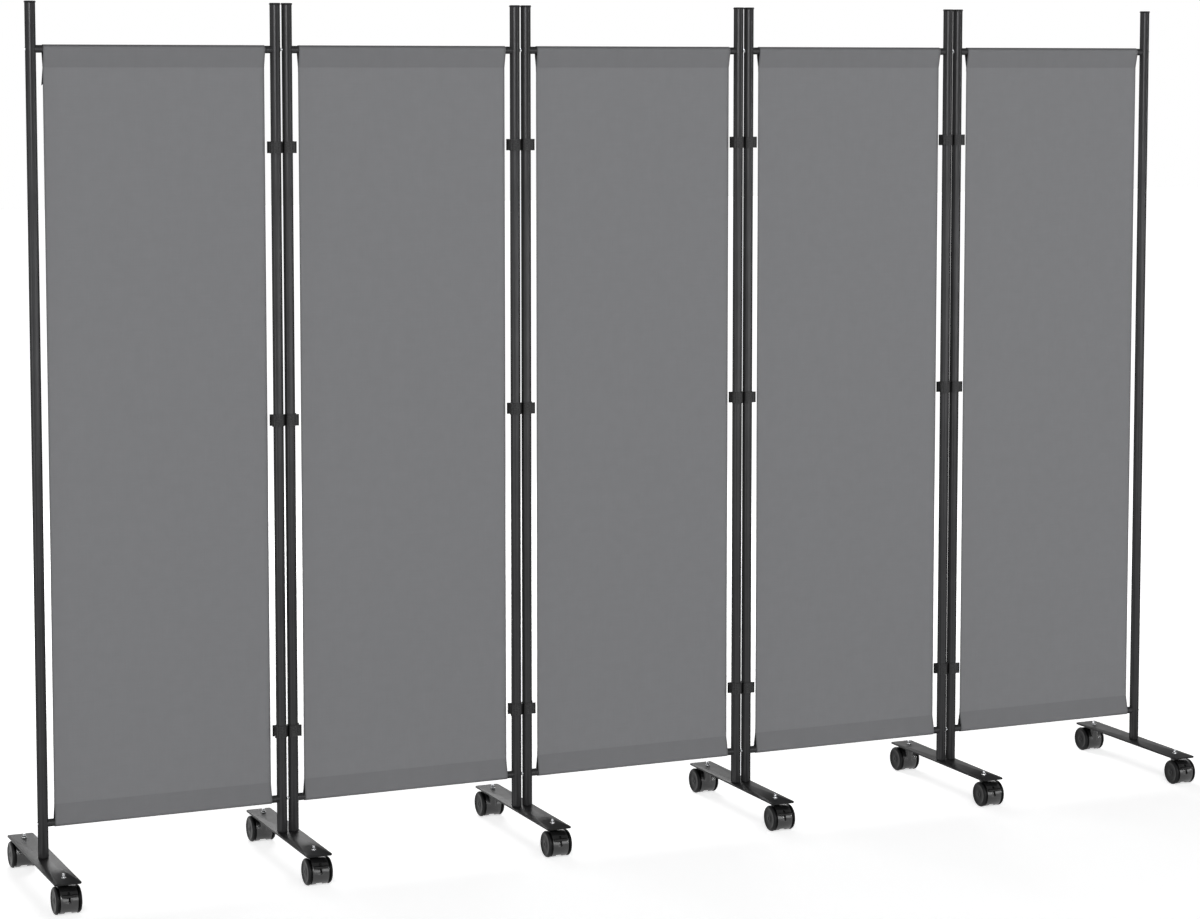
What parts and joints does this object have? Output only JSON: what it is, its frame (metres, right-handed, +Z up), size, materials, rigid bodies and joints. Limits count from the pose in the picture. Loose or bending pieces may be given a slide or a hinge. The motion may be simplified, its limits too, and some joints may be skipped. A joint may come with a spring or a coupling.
{
  "type": "outdoor privacy screen",
  "caption": "Free-standing folding privacy screen: grey fabric panels on black tube posts, clipped in pairs and carried on base plates with braked twin-wheel casters.",
  "frame": {"origin": "on the floor, midway along the open screen and midway from front to back", "axes": "+X along the open screen to the right seen from the front, +Y from front to back, +Z up"},
  "size_m": [2.77, 0.4592, 1.85],
  "materials": {
    "black_tube": "satin black powder coat on steel tube",
    "grey_fabric": "matt plain-woven polyester, mid grey",
    "black_plate": "satin dark powder coat on steel plate",
    "clip_plastic": "fine-grained black moulded plastic",
    "caster_plastic": "satin black moulded plastic with fine ribs",
    "wheel_plastic": "satin black moulded plastic",
    "lever_plastic": "black moulded plastic",
    "cap_plastic": "black moulded plastic",
    "zinc": "bright zinc-plated steel"
  },
  "bodies": {
    "panel_1": {"panel_1_frame": "black_tube", "panel_1_fabric": "grey_fabric"},
    "panel_2": {"panel_2_frame": "black_tube", "panel_2_fabric": "grey_fabric"},
    "panel_3": {"panel_3_frame": "black_tube", "panel_3_fabric": "grey_fabric"},
    "panel_4": {"panel_4_frame": "black_tube", "panel_4_fabric": "grey_fabric"},
    "panel_5": {"panel_5_frame": "black_tube", "panel_5_fabric": "grey_fabric"},
    "base_1": {"base_1_plate": "black_plate"},
    "base_1_front_caster": {"base_1_front_housing": "caster_plastic"},
    "base_1_front_wheelset": {"base_1_front_wheels": "wheel_plastic"},
    "base_1_front_lever": {"base_1_front_brake": "lever_plastic"},
    "base_1_rear_caster": {"base_1_rear_housing": "caster_plastic"},
    "base_1_rear_wheelset": {"base_1_rear_wheels": "wheel_plastic"},
    "base_1_rear_lever": {"base_1_rear_brake": "lever_plastic"},
    "base_2": {"base_2_plate": "black_plate", "base_2_clips": "clip_plastic"},
    "base_2_front_caster": {"base_2_front_housing": "caster_plastic"},
    "base_2_front_wheelset": {"base_2_front_wheels": "wheel_plastic"},
    "base_2_front_lever": {"base_2_front_brake": "lever_plastic"},
    "base_2_rear_caster": {"base_2_rear_housing": "caster_plastic"},
    "base_2_rear_wheelset": {"base_2_rear_wheels": "wheel_plastic"},
    "base_2_rear_lever": {"base_2_rear_brake": "lever_plastic"},
    "base_3": {"base_3_plate": "black_plate", "base_3_clips": "clip_plastic"},
    "base_3_front_caster": {"base_3_front_housing": "caster_plastic"},
    "base_3_front_wheelset": {"base_3_front_wheels": "wheel_plastic"},
    "base_3_front_lever": {"base_3_front_brake": "lever_plastic"},
    "base_3_rear_caster": {"base_3_rear_housing": "caster_plastic"},
    "base_3_rear_wheelset": {"base_3_rear_wheels": "wheel_plastic"},
    "base_3_rear_lever": {"base_3_rear_brake": "lever_plastic"},
    "base_4": {"base_4_plate": "black_plate", "base_4_clips": "clip_plastic"},
    "base_4_front_caster": {"base_4_front_housing": "caster_plastic"},
    "base_4_front_wheelset": {"base_4_front_wheels": "wheel_plastic"},
    "base_4_front_lever": {"base_4_front_brake": "lever_plastic"},
    "base_4_rear_caster": {"base_4_rear_housing": "caster_plastic"},
    "base_4_rear_wheelset": {"base_4_rear_wheels": "wheel_plastic"},
    "base_4_rear_lever": {"base_4_rear_brake": "lever_plastic"},
    "base_5": {"base_5_plate": "black_plate", "base_5_clips": "clip_plastic"},
    "base_5_front_caster": {"base_5_front_housing": "caster_plastic"},
    "base_5_front_wheelset": {"base_5_front_wheels": "wheel_plastic"},
    "base_5_front_lever": {"base_5_front_brake": "lever_plastic"},
    "base_5_rear_caster": {"base_5_rear_housing": "caster_plastic"},
    "base_5_rear_wheelset": {"base_5_rear_wheels": "wheel_plastic"},
    "base_5_rear_lever": {"base_5_rear_brake": "lever_plastic"},
    "base_6": {"base_6_plate": "black_plate"},
    "base_6_front_caster": {"base_6_front_housing": "caster_plastic"},
    "base_6_front_wheelset": {"base_6_front_wheels": "wheel_plastic"},
    "base_6_front_lever": {"base_6_front_brake": "lever_plastic"},
    "base_6_rear_caster": {"base_6_rear_housing": "caster_plastic"},
    "base_6_rear_wheelset": {"base_6_rear_wheels": "wheel_plastic"},
    "base_6_rear_lever": {"base_6_rear_brake": "lever_plastic"}
  },
  "joints": [
    {"name": "panel_3_left_hinge", "type": "hinge", "parent": "panel_3", "child": "base_3", "pos_m": [-0.261, 0, 0.067], "axis": [0, 0, 1], "range_deg": [-85, 85]},
    {"name": "panel_2_right_hinge", "type": "hinge", "parent": "base_3", "child": "panel_2", "pos_m": [-0.287, 0, 0.067], "axis": [0, 0, 1], "range_deg": [-85, 85]},
    {"name": "panel_2_left_hinge", "type": "hinge", "parent": "panel_2", "child": "base_2", "pos_m": [-0.809, 0, 0.067], "axis": [0, 0, -1], "range_deg": [-85, 85]},
    {"name": "panel_1_right_hinge", "type": "hinge", "parent": "base_2", "child": "panel_1", "pos_m": [-0.835, 0, 0.067], "axis": [0, 0, -1], "range_deg": [-85, 85]},
    {"name": "panel_1_left_hinge", "type": "hinge", "parent": "panel_1", "child": "base_1", "pos_m": [-1.357, 0, 0.067], "axis": [0, 0, 1], "range_deg": [-85, 85]},
    {"name": "panel_3_right_hinge", "type": "hinge", "parent": "panel_3", "child": "base_4", "pos_m": [0.261, 0, 0.067], "axis": [0, 0, 1], "range_deg": [-85, 85]},
    {"name": "panel_4_left_hinge", "type": "hinge", "parent": "base_4", "child": "panel_4", "pos_m": [0.287, 0, 0.067], "axis": [0, 0, 1], "range_deg": [-85, 85]},
    {"name": "panel_4_right_hinge", "type": "hinge", "parent": "panel_4", "child": "base_5", "pos_m": [0.809, 0, 0.067], "axis": [0, 0, -1], "range_deg": [-85, 85]},
    {"name": "panel_5_left_hinge", "type": "hinge", "parent": "base_5", "child": "panel_5", "pos_m": [0.835, 0, 0.067], "axis": [0, 0, -1], "range_deg": [-85, 85]},
    {"name": "panel_5_right_hinge", "type": "hinge", "parent": "panel_5", "child": "base_6", "pos_m": [1.357, 0, 0.067], "axis": [0, 0, 1], "range_deg": [-85, 85]},
    {"name": "base_1_front_swivel", "type": "hinge", "parent": "base_1", "child": "base_1_front_caster", "pos_m": [-1.357, -0.174, 0.057], "axis": [0, 0, 1], "continuous": true},
    {"name": "base_1_front_roll", "type": "hinge", "parent": "base_1_front_caster", "child": "base_1_front_wheelset", "pos_m": [-1.357, -0.195, 0.02875], "axis": [1, 0, 0], "continuous": true},
    {"name": "base_1_front_press", "type": "hinge", "parent": "base_1_front_caster", "child": "base_1_front_lever", "pos_m": [-1.357, -0.195, 0.02875], "axis": [1, 0, 0], "range_deg": [0, 28]},
    {"name": "base_1_rear_swivel", "type": "hinge", "parent": "base_1", "child": "base_1_rear_caster", "pos_m": [-1.357, 0.174, 0.057], "axis": [0, 0, 1], "continuous": true},
    {"name": "base_1_rear_roll", "type": "hinge", "parent": "base_1_rear_caster", "child": "base_1_rear_wheelset", "pos_m": [-1.357, 0.195, 0.02875], "axis": [1, 0, 0], "continuous": true},
    {"name": "base_1_rear_press", "type": "hinge", "parent": "base_1_rear_caster", "child": "base_1_rear_lever", "pos_m": [-1.357, 0.195, 0.02875], "axis": [-1, 0, 0], "range_deg": [0, 28]},
    {"name": "base_2_front_swivel", "type": "hinge", "parent": "base_2", "child": "base_2_front_caster", "pos_m": [-0.822, -0.174, 0.057], "axis": [0, 0, 1], "continuous": true},
    {"name": "base_2_front_roll", "type": "hinge", "parent": "base_2_front_caster", "child": "base_2_front_wheelset", "pos_m": [-0.822, -0.195, 0.02875], "axis": [1, 0, 0], "continuous": true},
    {"name": "base_2_front_press", "type": "hinge", "parent": "base_2_front_caster", "child": "base_2_front_lever", "pos_m": [-0.822, -0.195, 0.02875], "axis": [1, 0, 0], "range_deg": [0, 28]},
    {"name": "base_2_rear_swivel", "type": "hinge", "parent": "base_2", "child": "base_2_rear_caster", "pos_m": [-0.822, 0.174, 0.057], "axis": [0, 0, 1], "continuous": true},
    {"name": "base_2_rear_roll", "type": "hinge", "parent": "base_2_rear_caster", "child": "base_2_rear_wheelset", "pos_m": [-0.822, 0.195, 0.02875], "axis": [1, 0, 0], "continuous": true},
    {"name": "base_2_rear_press", "type": "hinge", "parent": "base_2_rear_caster", "child": "base_2_rear_lever", "pos_m": [-0.822, 0.195, 0.02875], "axis": [-1, 0, 0], "range_deg": [0, 28]},
    {"name": "base_3_front_swivel", "type": "hinge", "parent": "base_3", "child": "base_3_front_caster", "pos_m": [-0.274, -0.174, 0.057], "axis": [0, 0, 1], "continuous": true},
    {"name": "base_3_front_roll", "type": "hinge", "parent": "base_3_front_caster", "child": "base_3_front_wheelset", "pos_m": [-0.274, -0.195, 0.02875], "axis": [1, 0, 0], "continuous": true},
    {"name": "base_3_front_press", "type": "hinge", "parent": "base_3_front_caster", "child": "base_3_front_lever", "pos_m": [-0.274, -0.195, 0.02875], "axis": [1, 0, 0], "range_deg": [0, 28]},
    {"name": "base_3_rear_swivel", "type": "hinge", "parent": "base_3", "child": "base_3_rear_caster", "pos_m": [-0.274, 0.174, 0.057], "axis": [0, 0, 1], "continuous": true},
    {"name": "base_3_rear_roll", "type": "hinge", "parent": "base_3_rear_caster", "child": "base_3_rear_wheelset", "pos_m": [-0.274, 0.195, 0.02875], "axis": [1, 0, 0], "continuous": true},
    {"name": "base_3_rear_press", "type": "hinge", "parent": "base_3_rear_caster", "child": "base_3_rear_lever", "pos_m": [-0.274, 0.195, 0.02875], "axis": [-1, 0, 0], "range_deg": [0, 28]},
    {"name": "base_4_front_swivel", "type": "hinge", "parent": "base_4", "child": "base_4_front_caster", "pos_m": [0.274, -0.174, 0.057], "axis": [0, 0, 1], "continuous": true},
    {"name": "base_4_front_roll", "type": "hinge", "parent": "base_4_front_caster", "child": "base_4_front_wheelset", "pos_m": [0.274, -0.195, 0.02875], "axis": [1, 0, 0], "continuous": true},
    {"name": "base_4_front_press", "type": "hinge", "parent": "base_4_front_caster", "child": "base_4_front_lever", "pos_m": [0.274, -0.195, 0.02875], "axis": [1, 0, 0], "range_deg": [0, 28]},
    {"name": "base_4_rear_swivel", "type": "hinge", "parent": "base_4", "child": "base_4_rear_caster", "pos_m": [0.274, 0.174, 0.057], "axis": [0, 0, 1], "continuous": true},
    {"name": "base_4_rear_roll", "type": "hinge", "parent": "base_4_rear_caster", "child": "base_4_rear_wheelset", "pos_m": [0.274, 0.195, 0.02875], "axis": [1, 0, 0], "continuous": true},
    {"name": "base_4_rear_press", "type": "hinge", "parent": "base_4_rear_caster", "child": "base_4_rear_lever", "pos_m": [0.274, 0.195, 0.02875], "axis": [-1, 0, 0], "range_deg": [0, 28]},
    {"name": "base_5_front_swivel", "type": "hinge", "parent": "base_5", "child": "base_5_front_caster", "pos_m": [0.822, -0.174, 0.057], "axis": [0, 0, 1], "continuous": true},
    {"name": "base_5_front_roll", "type": "hinge", "parent": "base_5_front_caster", "child": "base_5_front_wheelset", "pos_m": [0.822, -0.195, 0.02875], "axis": [1, 0, 0], "continuous": true},
    {"name": "base_5_front_press", "type": "hinge", "parent": "base_5_front_caster", "child": "base_5_front_lever", "pos_m": [0.822, -0.195, 0.02875], "axis": [1, 0, 0], "range_deg": [0, 28]},
    {"name": "base_5_rear_swivel", "type": "hinge", "parent": "base_5", "child": "base_5_rear_caster", "pos_m": [0.822, 0.174, 0.057], "axis": [0, 0, 1], "continuous": true},
    {"name": "base_5_rear_roll", "type": "hinge", "parent": "base_5_rear_caster", "child": "base_5_rear_wheelset", "pos_m": [0.822, 0.195, 0.02875], "axis": [1, 0, 0], "continuous": true},
    {"name": "base_5_rear_press", "type": "hinge", "parent": "base_5_rear_caster", "child": "base_5_rear_lever", "pos_m": [0.822, 0.195, 0.02875], "axis": [-1, 0, 0], "range_deg": [0, 28]},
    {"name": "base_6_front_swivel", "type": "hinge", "parent": "base_6", "child": "base_6_front_caster", "pos_m": [1.357, -0.174, 0.057], "axis": [0, 0, 1], "continuous": true},
    {"name": "base_6_front_roll", "type": "hinge", "parent": "base_6_front_caster", "child": "base_6_front_wheelset", "pos_m": [1.357, -0.195, 0.02875], "axis": [1, 0, 0], "continuous": true},
    {"name": "base_6_front_press", "type": "hinge", "parent": "base_6_front_caster", "child": "base_6_front_lever", "pos_m": [1.357, -0.195, 0.02875], "axis": [1, 0, 0], "range_deg": [0, 28]},
    {"name": "base_6_rear_swivel", "type": "hinge", "parent": "base_6", "child": "base_6_rear_caster", "pos_m": [1.357, 0.174, 0.057], "axis": [0, 0, 1], "continuous": true},
    {"name": "base_6_rear_roll", "type": "hinge", "parent": "base_6_rear_caster", "child": "base_6_rear_wheelset", "pos_m": [1.357, 0.195, 0.02875], "axis": [1, 0, 0], "continuous": true},
    {"name": "base_6_rear_press", "type": "hinge", "parent": "base_6_rear_caster", "child": "base_6_rear_lever", "pos_m": [1.357, 0.195, 0.02875], "axis": [-1, 0, 0], "range_deg": [0, 28]}
  ]
}
